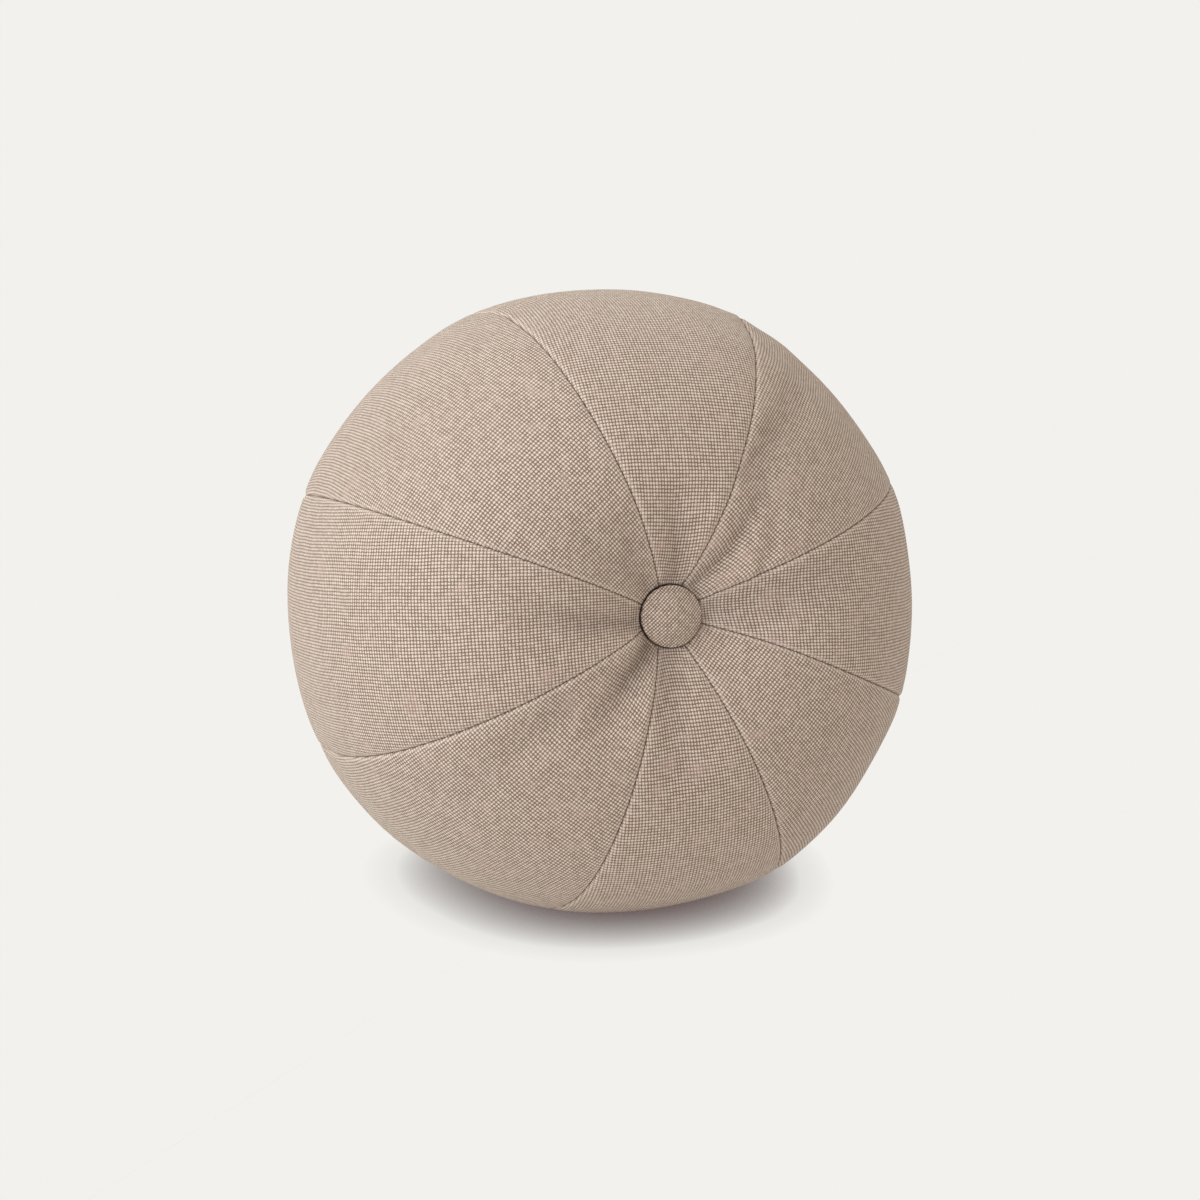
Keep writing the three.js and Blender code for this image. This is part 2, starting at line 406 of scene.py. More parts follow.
FRONT_FOLDS = fold_table(
    (44.5, 54, 11, 11, 92, 3.8, 4, 3.2),
    (78.5, 92, 11, 11, 66, 6.8, 5.5, 4.2),
    (124, 134, 11, 11, 48, 2.8, 3.4, 2.6),
    (187.5, 170.5, 11, 11, 88, 6, 4.7, 4),
    (228, 225.5, 11, 11, 70, 4, 7, 6.2),
    (262, 270.5, 11, 11, 96, 8.5, 6.6, 2.7),
    (4, 14, 11, 11, 110, 12, 9, 2.8),
    (22, 53, 40, 8, 82, 5, 6, 1.4),
    (62, 49, 62, 14, 160, 12, 4, 1.9),
    (121, 121, 30, 8, 58, 6.5, 3, 1.8),
    (141, 133, 30, 8, 96, 2.8, 2, 0.8),
    (212, 220.5, 50, 20, 144, 8, 7, 1.2),
    (27, 27, 14, 8, 88, 2.5, 13, -1.6),
    (68.5, 69, 14, 8, 71, 2.5, 13, -2.4),
    (191, 200, 14, 8, 66, 13, 12, -2.6),
    (245.5, 247, 14, 8, 86, 9.5, 2.5, -2.4),
)
BACK_FOLDS = fold_table(
    (42, 38, 11, 11, 78, 4, 7, 3.4),
    (92, 86, 11, 11, 60, 6, 5, 2.6),
    (134, 130, 11, 11, 88, 4.5, 8, 4.6),
    (181, 184, 11, 11, 70, 7, 6, 3.2),
    (226, 229, 11, 11, 64, 5, 4, 2.8),
    (272, 268, 11, 11, 82, 7, 9, 3.6),
    (318, 322, 11, 11, 76, 4, 6, 3.8),
    (24, 24, 14, 8, 80, 3, 12, -1.6),
    (160, 160, 14, 8, 74, 3, 11, -2),
    (246, 246, 14, 8, 84, 11, 3, -1.8),
)
CREASES = fold_table(
    (229, 225, 12, 10, 64, 1.2, 2, 1.3),
    (45, 54, 14, 14, 84, 2, 1.3, 0.9),
    (80, 90, 12, 10, 50, 1.8, 1.4, 0.8),
    (186, 172, 12, 10, 66, 1.4, 2, 0.7),
)
FOLD_FADE = 1.5
PUCKERS = 30
PUCKER_START, PUCKER_RISE = 14, 6
PUCKER_WIDTH = (0.8, 1.5)
PUCKER_END = (21, 38)
PUCKER_DEPTH = (0.2, 0.6)
MILLIMETRE = 0.001


def small_puckers(seed):
    """Short folds all round a button, each a little different."""
    draw = np.random.default_rng(seed)
    rows = []
    for number in range(PUCKERS):
        longitude = (number + draw.uniform(0.1, 0.9)) * 360 / PUCKERS
        width = draw.uniform(*PUCKER_WIDTH)
        aim = longitude + draw.uniform(-2, 2)
        end = draw.uniform(*PUCKER_END)
        depth = draw.uniform(*PUCKER_DEPTH)
        rows.append((longitude, aim, PUCKER_START, PUCKER_RISE, end, width, width, depth))
    return fold_table(*rows)


def fold_depth(folds, reach, longitude):
    """How deep a set of folds lies at each reach and longitude, in metres."""
    out = reach / MILLIMETRE
    depth = np.zeros(np.broadcast(reach, longitude).shape)
    for fold in folds:
        run = np.clip((out - fold["start"]) / (fold["end"] - fold["start"]), 0, 1)
        trough = fold["from"] + (fold["to"] - fold["from"]) * run
        turned = (longitude - trough + 180) % 360 - 180
        width = np.where(turned < 0, fold["before"], fold["after"])
        flank = bell(out * np.radians(turned) / width)
        risen = np.clip((out - fold["start"]) / fold["rise"], 0, 1)
        rise = risen * risen * (3 - 2 * risen)
        depth += fold["depth"] * rise * cos(90 * run) ** FOLD_FADE * flank
    return depth * MILLIMETRE


front_puckers, back_puckers = small_puckers(3) + CREASES, small_puckers(8)
print(len(FRONT_FOLDS), "folds in front,", len(BACK_FOLDS), "behind,", PUCKERS, "puckers each")

# %% [markdown]
# ## Seams
#
# Where two gores are sewn together, their edges turn in. The thread pulls the cloth down into a
# shallow channel, and in its middle the two rolled edges meet in a narrow crease. Each stitch
# pulls a little harder than the cloth between two stitches, so the crease swells and closes along
# the seam. A texture alone would look painted on where the light grazes it, so both the channel
# and the crease are in the mesh, which has its columns crowded beside each seam for this.

# %% The channel of a seam
SEAM_DEPTH = 0.0015
SEAM_HALF = 0.0021  # of the plain channel, as in the model
STITCH = 0.0042  # from one stitch to the next
STITCH_PULL = 0.22
CREASE_SHARE = 0.55  # share of the depth that is in the narrow crease
CREASE_HALF = 0.00025
CHANNEL_HALF = 0.0015  # of the channel round the crease


def plain_channel(from_seam):
    """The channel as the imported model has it."""
    return SEAM_DEPTH * bell(from_seam / SEAM_HALF)


def sewn_channel(from_seam, run):
    """The channel with its crease, a little deeper at each stitch."""
    pull = 1 + STITCH_PULL * np.cos(math.tau * run / STITCH)
    crease = CREASE_SHARE * pull * np.exp(-from_seam / CREASE_HALF)
    channel = (1 - CREASE_SHARE) * bell(from_seam / CHANNEL_HALF)
    return SEAM_DEPTH * (crease + channel)


print("a stitch every", 1000 * STITCH, "mm, a seam", 1000 * SEAM_DEPTH, "mm deep")

# %% [markdown]
# ## The cover as a grid
#
# The cover is made of rings round the button line, and each ring has the same number of points: so
# many for each gore. That makes it a grid of rows and columns. A flat grid of faces is rolled up
# for it, and each of its points is then moved to its place on the cover. An icosphere or a
# remeshed ball has no columns that could follow the seams.
#
# The rows are closer together near the buttons, where the folds are. The columns are closer
# together at the seams.

# %% Rows and columns
def cover_rows(count, crowding):
    """Polar angles from the front button's lip to the back one's."""
    share = np.arange(count) / (count - 1)
    crowded = share - crowding * np.sin(math.tau * share) / math.tau
    return LIP_POLAR + (180 - 2 * LIP_POLAR) * crowded


def gore_sides(per_gore, power):
    """Places across a gore, from -1 at its first seam up to, but not with, 1 at its second."""
    even = np.arange(per_gore) / per_gore * 2 - 1
    return np.sign(even) * (1 - (1 - np.abs(even)) ** power)


class Grid:
    """The cover's rows and columns, and what each point is near."""

    def __init__(self, rows, per_gore, crowding, power):
        self.per_gore = per_gore
        self.polar = cover_rows(rows, crowding)[:, None]
        self.gore = np.repeat(np.arange(len(GORES)), per_gore)[None, :]
        self.sides = gore_sides(per_gore, power)
        self.side = np.tile(self.sides, len(GORES))[None, :]
        middle, self.half = gore_span(self.gore, self.polar)
        self.longitude = middle + self.side * self.half
        self.radius = self.smooth_radius()
        self.reach = self.radius * sin(self.polar)
        self.from_seam = self.reach * np.radians(self.half) * (1 - np.abs(self.side))
        self.run = SEAM_RADIUS * np.radians(self.polar)

    def smooth_radius(self):
        """The crown of each gore, before seams and folds."""
        straight = cos(self.half) / cos(self.side * self.half)
        flat = SEAMS["flat"][self.gore]
        pulled = 1 - flat * sin(self.polar) ** 2 * (1 - straight)
        first, last = SEAMS["proud"][self.gore], SEAMS["proud"][(self.gore + 1) % len(GORES)]
        proud = first + (last - first) * (self.side + 1) / 2
        return meridian_radius(self.polar) * pulled + proud * sin(self.polar) ** 2

    def folds(self, front, back):
        """Depth of the folds round both buttons."""
        ahead = fold_depth(front, self.reach, self.longitude)
        behind = fold_depth(back, self.reach, self.longitude)
        return np.where(self.polar < 90, ahead, behind)

    def points(self, radius):
        """Where the cover lies, before the ball settles."""
        return place(radius * cos(self.polar), radius * sin(self.polar), self.longitude)


soft_grid = Grid(rows=96, per_gore=14, crowding=0.45, power=1.0)
fine_grid = Grid(rows=372, per_gore=32, crowding=0.35, power=2.0)
print("soft grid", soft_grid.longitude.shape, "fine grid", fine_grid.longitude.shape)

# %% [markdown]
# ## The pocket under a button
#
# At the button the cover turns down into a small pocket: over a rounded lip, down a wall, and in
# under the button to the point where all eight gores meet. It hardly shows, but it makes the thin
# dark ring round the button, and it closes the mesh, which a pressure simulation needs.
#
# Its rings are worked out from the lip's own ring, so a fold that reaches the button runs over the
# lip and ends at the pocket's floor.

# %% Rings of the pocket
LIP_ROUND = 0.0009
POCKET_RADIUS = 0.0147
POCKET_DEPTH = 0.004
LIP_STEPS = 4
WALL_DOWN = 0.85  # share of the way down where the wall ends
FOOT_IN = 0.0006  # how far its foot turns in
FLOOR_IN = 0.5  # share of the way to the middle, on the floor
KEPT_IN = 0.0009  # keeps the floor's rings inside the wall where a fold narrows the lip
pocket_floor = float(meridian_radius(LIP_POLAR) * cos(LIP_POLAR)) - POCKET_DEPTH


def pocket_shares():
    """Shares of the way down, and in, from the lip to the pocket's floor, ring by ring."""
    way_in = float(meridian_radius(LIP_POLAR) * sin(LIP_POLAR)) - POCKET_RADIUS
    shares = []
    for step in range(1, LIP_STEPS + 1):
        angle = math.pi / 2 * step / LIP_STEPS
        shares.append((LIP_ROUND * (1 - math.cos(angle)) / POCKET_DEPTH, math.sin(angle)))
    shares.append((WALL_DOWN, 1.0))
    shares.append((1.0, 1 + FOOT_IN / way_in))
    shares.append((1.0, 1 + FLOOR_IN * POCKET_RADIUS / way_in))
    return shares


POCKET_ROWS = len(pocket_shares()) + 1  # the middle point is a row too


def pocket_rings(lip, way):
    """The rings from the lip in to the middle of the pocket. way is 1 in front and -1 behind."""
    out = lip - MIDDLE
    along = out @ front_way
    aside = out - along[:, None] * front_way
    reach = np.linalg.norm(aside, axis=1)
    rings = []
    for down, inward in pocket_shares():
        ring_along = along + (way * pocket_floor - along) * down
        ring_reach = reach + (POCKET_RADIUS - reach) * inward
        if inward > 1:
            ring_reach = np.minimum(ring_reach, POCKET_RADIUS - (inward - 1) * KEPT_IN)
        ring = ring_along[:, None] * front_way + aside * (ring_reach / reach)[:, None]
        rings.append(MIDDLE + ring)
    middle = MIDDLE + way * pocket_floor * front_way
    rings.append(np.broadcast_to(middle, lip.shape))
    return rings


def closed(cover):
    """The cover's rows with the pockets' rings before and after them."""
    front, back = pocket_rings(cover[0], 1), pocket_rings(cover[-1], -1)
    return np.stack([*front[::-1], *cover, *back])


print("the pocket's floor is", round(1000 * pocket_floor, 1), "mm from the ball's middle")

# %% [markdown]
# ## Rolling up the mesh
#
# The flat grid is rolled round into a ball. Its two sides meet in one line, its two ends close to
# points, and what meets is merged. Each point keeps its row in a layer of whole numbers, and its
# column is read from its angle. Spinning a half circle would give the same ball, but Spin doesn't
# list its edges in the same order each time, and a simulation on it ends a little differently
# each time.

# %% Roll a grid into a ball
def rolled_ball(name, grid_points):
    """A closed mesh over a grid of points, each point's row and column, and its place on a ball."""
    rows, columns = grid_points.shape[:2]
    bm = bmesh.new()
    bmesh.ops.create_grid(bm, x_segments=columns, y_segments=rows - 1, size=1)
    row_layer = bm.verts.layers.int.new("row")
    bm.verts.index_update()
    for vertex in bm.verts:
        row, column = divmod(vertex.index, columns + 1)
        down, turn = math.pi * row / (rows - 1), math.tau * (column % columns) / columns
        reach = math.sin(down)
        vertex[row_layer] = row
        vertex.co = (reach * math.cos(turn), reach * math.sin(turn), math.cos(down))
    bmesh.ops.remove_doubles(bm, verts=bm.verts, dist=1e-7)
    mesh = mesh_of(bm, name)

    flat = np.empty(len(mesh.vertices) * 3, np.float32)
    mesh.vertices.foreach_get("co", flat)
    on_ball = flat.reshape(-1, 3)
    row = np.empty(len(mesh.vertices), np.int32)
    mesh.attributes["row"].data.foreach_get("value", row)
    angle = np.arctan2(on_ball[:, 1], on_ball[:, 0])
    column = np.rint(angle / math.tau * columns).astype(int) % columns
    mesh.vertices.foreach_set("co", grid_points[row, column].astype(np.float32).ravel())
    return mesh, row, column, on_ball


def outward(mesh):
    """Turns every face to point out, and shades the mesh smooth."""
    bm = bmesh.new()
    bm.from_mesh(mesh)
    bmesh.ops.recalc_face_normals(bm, faces=bm.faces)
    if bm.calc_volume(signed=True) < 0:
        bmesh.ops.reverse_faces(bm, faces=bm.faces)
    bm.to_mesh(mesh)
    bm.free()
    mesh.shade_smooth()


print("a rolled ball has two poles and no open edge")

# %% [markdown]
# ## Filling it
#
# Stuffing pushes the cloth out wherever nothing holds it. The seams hold it most, because four
# layers of cloth are sewn together there, and the buttons and the floor hold it too. A cloth
# simulation with pressure inside does the same: a plain copy of the cover, with evenly spaced
# columns, is blown up a little, with those places held. The cloth is also a little too large for
# the ball, which lets soft hollows and ridges form between the held places.
#
# The copy starts a little smaller than the ball, because it swells. How far each of its points has
# moved is then spread over the fine grid by a smooth spline. No point may move more than the cap,
# so the form that was measured stays.

# %% Simulate the filling
PRESSURE = 4.0
FRAMES = 20
START_SHARE = 0.988
MOVE_CAP = 0.004
EASE = -0.012  # a negative shrinkage is spare cloth
SEAM_HELD = 0.5
FOLD_HELD = 0.002  # a fold as deep as this is held fully by the twine
FLOOR_HELD = 0.0015  # cloth lower than this rests on the floor
LEAST_HELD = 0.02
UPHOLSTERY = {
    "quality": 6,
    "mass": 0.35,
    "tension_stiffness": 20,
    "compression_stiffness": 20,
    "shear_stiffness": 8,
    "bending_stiffness": 1.5,
    "use_pressure": True,
    "uniform_pressure_force": PRESSURE,
    "shrink_min": EASE,
    "vertex_group_mass": "held",
}


def held_group(copy, grid, row, column):
    """How firmly each point is held: most at the buttons, the floor and the folds' lowest lines."""
    group = copy.vertex_groups.new(name="held")
    rows = len(grid.polar)
    inside = row - POCKET_ROWS
    pinched = np.abs(grid.folds(FRONT_FOLDS, BACK_FOLDS)) / FOLD_HELD
    for index, vertex in enumerate(copy.data.vertices):
        on_cover = 0 < inside[index] < rows - 1
        if not on_cover or vertex.co.z < FLOOR_HELD:
            weight = 1.0
        else:
            at_seam = SEAM_HELD if column[index] % grid.per_gore == 0 else 0.0
            weight = min(1.0, max(at_seam, pinched[inside[index], column[index]]))
        if weight > LEAST_HELD:
            group.add([index], float(weight), "REPLACE")


def fill_with_pressure(copy):
    """Blows the copy up, and returns its points at the last frame."""
    cloth = copy.modifiers.new("Cloth", "CLOTH")
    for name, value in UPHOLSTERY.items():
        setattr(cloth.settings, name, value)
    cloth.settings.effector_weights.gravity = 0
    cloth.collision_settings.use_collision = False
    scene = bpy.context.scene
    scene.frame_start, scene.frame_end = 1, FRAMES
    for number in range(1, FRAMES + 1):
        scene.frame_set(number)
    evaluated = copy.evaluated_get(bpy.context.evaluated_depsgraph_get())
    moved = np.empty(len(evaluated.data.vertices) * 3, np.float32)
    evaluated.data.vertices.foreach_get("co", moved)
    copy.modifiers.remove(cloth)
    scene.frame_set(1)
    return moved.reshape(-1, 3).astype(float)


def movement_of_filling(grid):
    """How far the filling moves each point of a grid, in metres."""
    radius = grid.radius - grid.folds(FRONT_FOLDS, BACK_FOLDS) - plain_channel(grid.from_seam)
    aim = settle(grid.points(radius))
    start = MIDDLE + (aim - MIDDLE) * START_SHARE
    start[..., 2] = np.maximum(start[..., 2], 0)
    mesh, row, column, _ = rolled_ball("filling", closed(start))
    outward(mesh)
    copy = add_object("filling", mesh)
    held_group(copy, grid, row, column)
    ended = np.zeros_like(closed(start))
    ended[row, column] = fill_with_pressure(copy)
    bpy.data.objects.remove(copy)
    movement = ended[POCKET_ROWS:-POCKET_ROWS] - aim
    length = np.linalg.norm(movement, axis=-1, keepdims=True)
    mean, most = (1000 * length.mean()).round(2), (1000 * length.max()).round(2)
    print("filling moves the cover by", mean, "mm on average,", most, "mm at most before the cap")
    return movement * np.minimum(1, MOVE_CAP / np.maximum(length, 1e-9))


movement = np.zeros((*soft_grid.longitude.shape, 3))
movement = movement_of_filling(soft_grid)

# %% Spread the movement over the fine grid
def spline_weights(places, count, wraps):
    """A matrix that takes values at count even places to a smooth curve at the places given."""
    weights = np.zeros((len(places), count))
    whole = np.floor(places).astype(int)
    part = places - whole
    shares = {
        -1: (1 - part) ** 3 / 6,
        0: (3 * part**3 - 6 * part**2 + 4) / 6,
        1: (-3 * part**3 + 3 * part**2 + 3 * part + 1) / 6,
        2: part**3 / 6,
    }
    for offset, share in shares.items():
        at = whole + offset
        at = at % count if wraps else np.clip(at, 0, count - 1)
        np.add.at(weights, (np.arange(len(places)), at), share)
    return weights


def spread(values, coarse, fine):
    """Carries values on the coarse grid over to the fine one."""
    down = np.interp(fine.polar[:, 0], coarse.polar[:, 0], np.arange(len(coarse.polar)))
    across = (fine.gore[0] + (fine.side[0] + 1) / 2) * coarse.per_gore
    rows = spline_weights(down, len(coarse.polar), wraps=False)
    columns = spline_weights(across, coarse.gore.shape[1], wraps=True)
    return np.einsum("ra,cb,abk->rck", rows, columns, values, optimize=True)


fine_movement = spread(movement, soft_grid, fine_grid)
print("largest movement kept:", (1000 * np.abs(fine_movement).max()).round(2), "mm")

# %% [markdown]
# ## The fine cover
#
# The fine cover is the same form with everything that a step closer shows: the crease and stitches
# of each seam, the puckers round the buttons, and the low lumps that loose filling always has. The
# lumps are a smooth noise, half a millimetre high at most, so that the outline isn't a perfect
# curve.

# %% Build the fine cover
LUMP_SIZE = 0.035
LUMP_HEIGHT = 0.0005
SEAM_LUMP = 0.009
SEAM_RUFFLE = 0.00035
RUFFLE_REACH = 0.008
NOISE_STEP = Vector((7.1, 3.7, 5.3))  # from one seed's part of the noise to the next one's


def noise_over(points, size, seed):
    """Smooth noise from -1 to 1 at each point of a grid."""
    offset = NOISE_STEP * seed
    flat = points.reshape(-1, 3) / size
    values = [noise.noise(Vector(point) + offset) for point in flat]
    return np.array(values).reshape(points.shape[:-1])


def fine_points(grid):
    """Every point of the fine cover."""
    radius = grid.radius - grid.folds(FRONT_FOLDS, BACK_FOLDS)
    radius = radius - grid.folds(front_puckers, back_puckers)
    radius = radius - sewn_channel(grid.from_seam, grid.run)
    rough = grid.points(radius)
    ruffle = noise_over(rough, SEAM_LUMP, 2) * np.exp(-grid.from_seam / RUFFLE_REACH)
    radius = radius + LUMP_HEIGHT * noise_over(rough, LUMP_SIZE, 1) + SEAM_RUFFLE * ruffle
    points = settle(grid.points(radius)) + fine_movement
    points[..., 2] = np.maximum(points[..., 2], 0)
    return points


cover_points = closed(fine_points(fine_grid))
cover_mesh, cover_row, cover_column, cover_on_ball = rolled_ball("ball_cover", cover_points)
print("cover has", len(cover_mesh.vertices), "points and", len(cover_mesh.polygons), "faces")

# %% [markdown]
# ## The cut of the cloth
#
# A weave shows how the cloth was cut. Each gore was cut with its threads along its own middle line,
# so the threads run straight down the middle of a gore and meet the next gore's at an angle at the
# seam. That is the work of a UV map: it lays each gore flat, in metres, with its middle line
# straight. The map is written corner by corner, because a point on a seam belongs to two gores and
# has another place in each.

# %% Lay each gore flat
GORE_APART = 0.5  # metres between two gores on the flat cloth


def lay_flat(mesh, grid, row, column, on_ball):
    """Gives each corner its place on the flat cloth, in a UV map called cloth."""
    corners = np.empty(len(mesh.loops), np.int32)
    mesh.loops.foreach_get("vertex_index", corners)
    starts = np.empty(len(mesh.polygons), np.int32)
    mesh.polygons.foreach_get("loop_start", starts)
    sizes = np.diff(np.append(starts, len(corners)))
    face = np.repeat(np.arange(len(starts)), sizes)

    middle = np.add.reduceat(on_ball[corners], starts, axis=0)
    angle = np.arctan2(middle[:, 1], middle[:, 0]) % math.tau
    columns = grid.gore.shape[1]
    gore = np.minimum((angle / math.tau * len(GORES)).astype(int), len(GORES) - 1)[face]

    local = (column[corners] - gore * grid.per_gore) % columns
    side = np.append(grid.sides, 1.0)[np.minimum(local, grid.per_gore)]
    inside = np.clip(row[corners] - POCKET_ROWS, 0, len(grid.polar) - 1)
    polar = grid.polar[inside, 0]
    _, half = gore_span(gore, polar)

    run = np.radians(polar)
    turn = np.radians(side * half)
    across = SEAM_RADIUS * np.arcsin(np.sin(run) * np.sin(turn))
    down = SEAM_RADIUS * np.arctan2(np.sin(run) * np.cos(turn), np.cos(run))
    layer = mesh.uv_layers.new(name="cloth")
    flat = np.stack([across + gore * GORE_APART, down], axis=1)
    layer.data.foreach_set("uv", flat.astype(np.float32).ravel())
    return across


across = lay_flat(cover_mesh, fine_grid, cover_row, cover_column, cover_on_ball)
print("widest gore is", round(2000 * float(across.max()), 1), "mm across when flat")

# %% Note what each point is near
cover_inside = np.clip(cover_row - POCKET_ROWS, 0, len(fine_grid.polar) - 1)
below_lip = np.abs(cover_row - POCKET_ROWS - cover_inside)
folded = fine_grid.folds(FRONT_FOLDS + CREASES, BACK_FOLDS)
# the cloth reads these to paint shade at seams, in folds and in tucks, and light beside seams and on
# ridges
point_values = {
    "from_seam": fine_grid.from_seam[cover_inside, cover_column],
    "seam_run": fine_grid.run[cover_inside, 0],
    "tucked": np.minimum(1, below_lip / (LIP_STEPS + 1)),
    "fold": folded[cover_inside, cover_column],
}
for name, values in point_values.items():
    layer = cover_mesh.attributes.new(name, "FLOAT", "POINT")
    layer.data.foreach_set("value", values.astype(np.float32))
outward(cover_mesh)
print(", ".join(point_values), "written on", len(cover_mesh.vertices), "points")

# %% [markdown]
# ## The woven cloth
#
# The cloth is a plain weave of thick uneven yarn: each thread goes over one and under the next.
# From a step away it is a square net of pale beads, one at each crossing, with a dark hole between
# every four of them. The yarn is lumpy, so some beads are paler or darker than their neighbours.
#
# The weave could be a picture, but a formula stays sharp at any distance. With places counted in
# threads, `abs(sin(pi * x))` is the round back of the threads that run one way. The product of the
# two sines changes its sign from one crossing to the next, so it says which thread lies on top
# there. The higher of the two is the height of the cloth, and it drives both colour and bump.
#
# Between two beads of a row the cloth dips to a saddle. Where the threads of one direction are beaten
# closer together, the saddles between them are high, and the beads run together into ribs.

# %% Weave
THREAD_ROUND = 0.8  # under 1 makes the back of a thread broader


def weave(wire, u, v, pitch, saddle):
    """Height of a plain weave from 0 to 1, and a chance value from 0 to 1 for each bead.

    saddle is how high the lengthwise and the crosswise threads are between two beads.
    """
    x, y = u / pitch[0], v / pitch[1]
    over_x, over_y = (x * math.pi).math("SINE"), (y * math.pi).math("SINE")
    swing = over_x * over_y
    ends = abs(over_x) ** THREAD_ROUND * saddle[0] + swing * (1 - saddle[0])
    picks = abs(over_y) ** THREAD_ROUND * saddle[1] - swing * (1 - saddle[1])
    crossing = wire.node("CombineXYZ", {"X": x.math("FLOOR"), "Y": y.math("FLOOR")})
    chance = wire.node("TexWhiteNoise", {"Vector": crossing}, noise_dimensions="3D")
    return ends.math("MAXIMUM", picks), chance


print("a plain weave, written as sums")

# %% [markdown]
# ## The cover's cloth
#
# The colour is a warm greyish beige: pale on the beads, dark in the holes. The dark in the holes
# is painted shade. A few soft spots are a little redder, as in yarn that took the dye unevenly.
# The seam's crease gets painted shade, the dark between two pieces of cloth, in a line that is
# broken a little by the stitches. A millimetre beside it the turned-in edges lift the cloth, and a
# painted highlight on both sides stands for the light that they catch. Where the cloth tucks in
# under the button it gets painted shade too, because hardly any light comes back out of so narrow
# a gap. For the same reason painted shade darkens the cloth slowly towards the bottom of a fold:
# the nap and the holes on one side keep light from the other, and a smooth mesh doesn't show that
# by itself. A ridge gets a painted highlight the same way.
#
# The sheen is that of short fibres standing off the yarn: it lifts the edge of the ball, where the
# eye looks along the cloth.

# %% Cloth
CLOTH_PALE = (0.643, 0.524, 0.440, 1)
# the colour in the weave's holes is painted shade
PAINTED_HOLE_SHADE = (0.182, 0.114, 0.078, 1)
CLOTH_ROSY = (0.46, 0.315, 0.27, 1)
HOLE, BEAD = 0.22, 0.98  # heights of the weave where its colour is darkest and palest
ROSY_SHARE = 0.35
ROSY_FROM, ROSY_TO = 0.56, 0.80  # values of a noise where a spot begins and is full
# painted shade: the dark deep in a seam's crease or in a button's pocket
PAINTED_GAP_SHADE = (0.060, 0.022, 0.010, 1)  # the colour deep in a seam or a pocket
# how much painted shade the cloth gets where it tucks in
TUCKED_PAINTED_SHADE = 0.9
# the seam's line of painted shade: its width and how strong it is
LINE_HALF = 0.0002
LINE_PAINTED_SHADE = 0.8
LINE_WAVE = 0.15  # darker at a stitch, paler between two
# a painted highlight beside each seam, where the turned-in edges lift the cloth
EDGE_PLACE = 0.0012  # from the seam to where its turned-in edges lift the cloth
EDGE_HALF = 0.0006
EDGE_PAINTED_LIGHT = 0.3
WANDER = 0.0010  # how far threads stray from a straight line
SPOTS = {"stray": 45.0, "drift": 110.0, "rosy": 105.0}  # spots in a metre, of three noises
BUMP_HEIGHT = 0.0003
ROUGH, ROUGH_MORE = 0.86, 0.1  # of the smoothest bead, and what the roughest has more
# painted shade by the depth of a fold, and painted light where a ridge's depth is under 0
FOLD_PAINTED_SHADE = 60.0  # for each metre of depth, so 6 per cent for a millimetre
DRIFT = 0.08  # how much the shade of the yarn changes over a few threads


def spots(place_on, kind, detail=1.0, output="Fac"):
    """A smooth noise, about 0.5 on average."""
    inputs = {"Vector": place_on, "Scale": SPOTS[kind], "Detail": detail}
    return place_on.node("TexNoise", inputs, output)


def written(wire, name):
    """A value that was written on the points of the mesh."""
    return wire.node("Attribute", output="Fac", attribute_name=name)


def strayed(wire, flat):
    """Places on the flat cloth, moved a little, because no thread lies quite straight."""
    stray = spots(flat, "stray", output="Color")
    straight = {axis: wire.node("SeparateXYZ", {"Vector": flat}, axis) for axis in "XY"}
    aside = [wire.node("SeparateColor", {"Color": stray}, name) - 0.5 for name in ("Red", "Green")]
    return straight["X"] + aside[0] * WANDER, straight["Y"] + aside[1] * WANDER


def yarn_colour(wire, height, chance, uneven):
    """Painted shade in a hole, pale on a bead, with the uneven dye of the yarn."""
    place_on = wire.node("TexCoord", output="Object")
    drift = spots(place_on, "drift", detail=3.0)
    bead = height + (chance - 0.5) * uneven + (drift - 0.5) * DRIFT
    colour = blend(steps(bead, HOLE, BEAD), PAINTED_HOLE_SHADE, CLOTH_PALE)
    rosy = steps(spots(place_on, "rosy"), ROSY_FROM, ROSY_TO)
    return blend(rosy * ROSY_SHARE, colour, CLOTH_ROSY)


def soft_line(distance, half):
    """A bell written as nodes: 1 where the distance is 0, and nearly 0 at twice the half width."""
    return (distance * distance * (-1 / half**2)).math("EXPONENT")


def sewn_edges(wire, colour):
    """Painted shade in the crease of a seam, weaker between two stitches, and a painted highlight on
    both sides.
    """
    from_seam = written(wire, "from_seam")
    wave = (written(wire, "seam_run") * (math.tau / STITCH)).math("COSINE")
    painted_edge_light = blend(soft_line(from_seam - EDGE_PLACE, EDGE_HALF) * EDGE_PAINTED_LIGHT, colour, CLOTH_PALE)
    return blend(soft_line(from_seam, LINE_HALF) * (LINE_PAINTED_SHADE + wave * LINE_WAVE), painted_edge_light, PAINTED_GAP_SHADE)


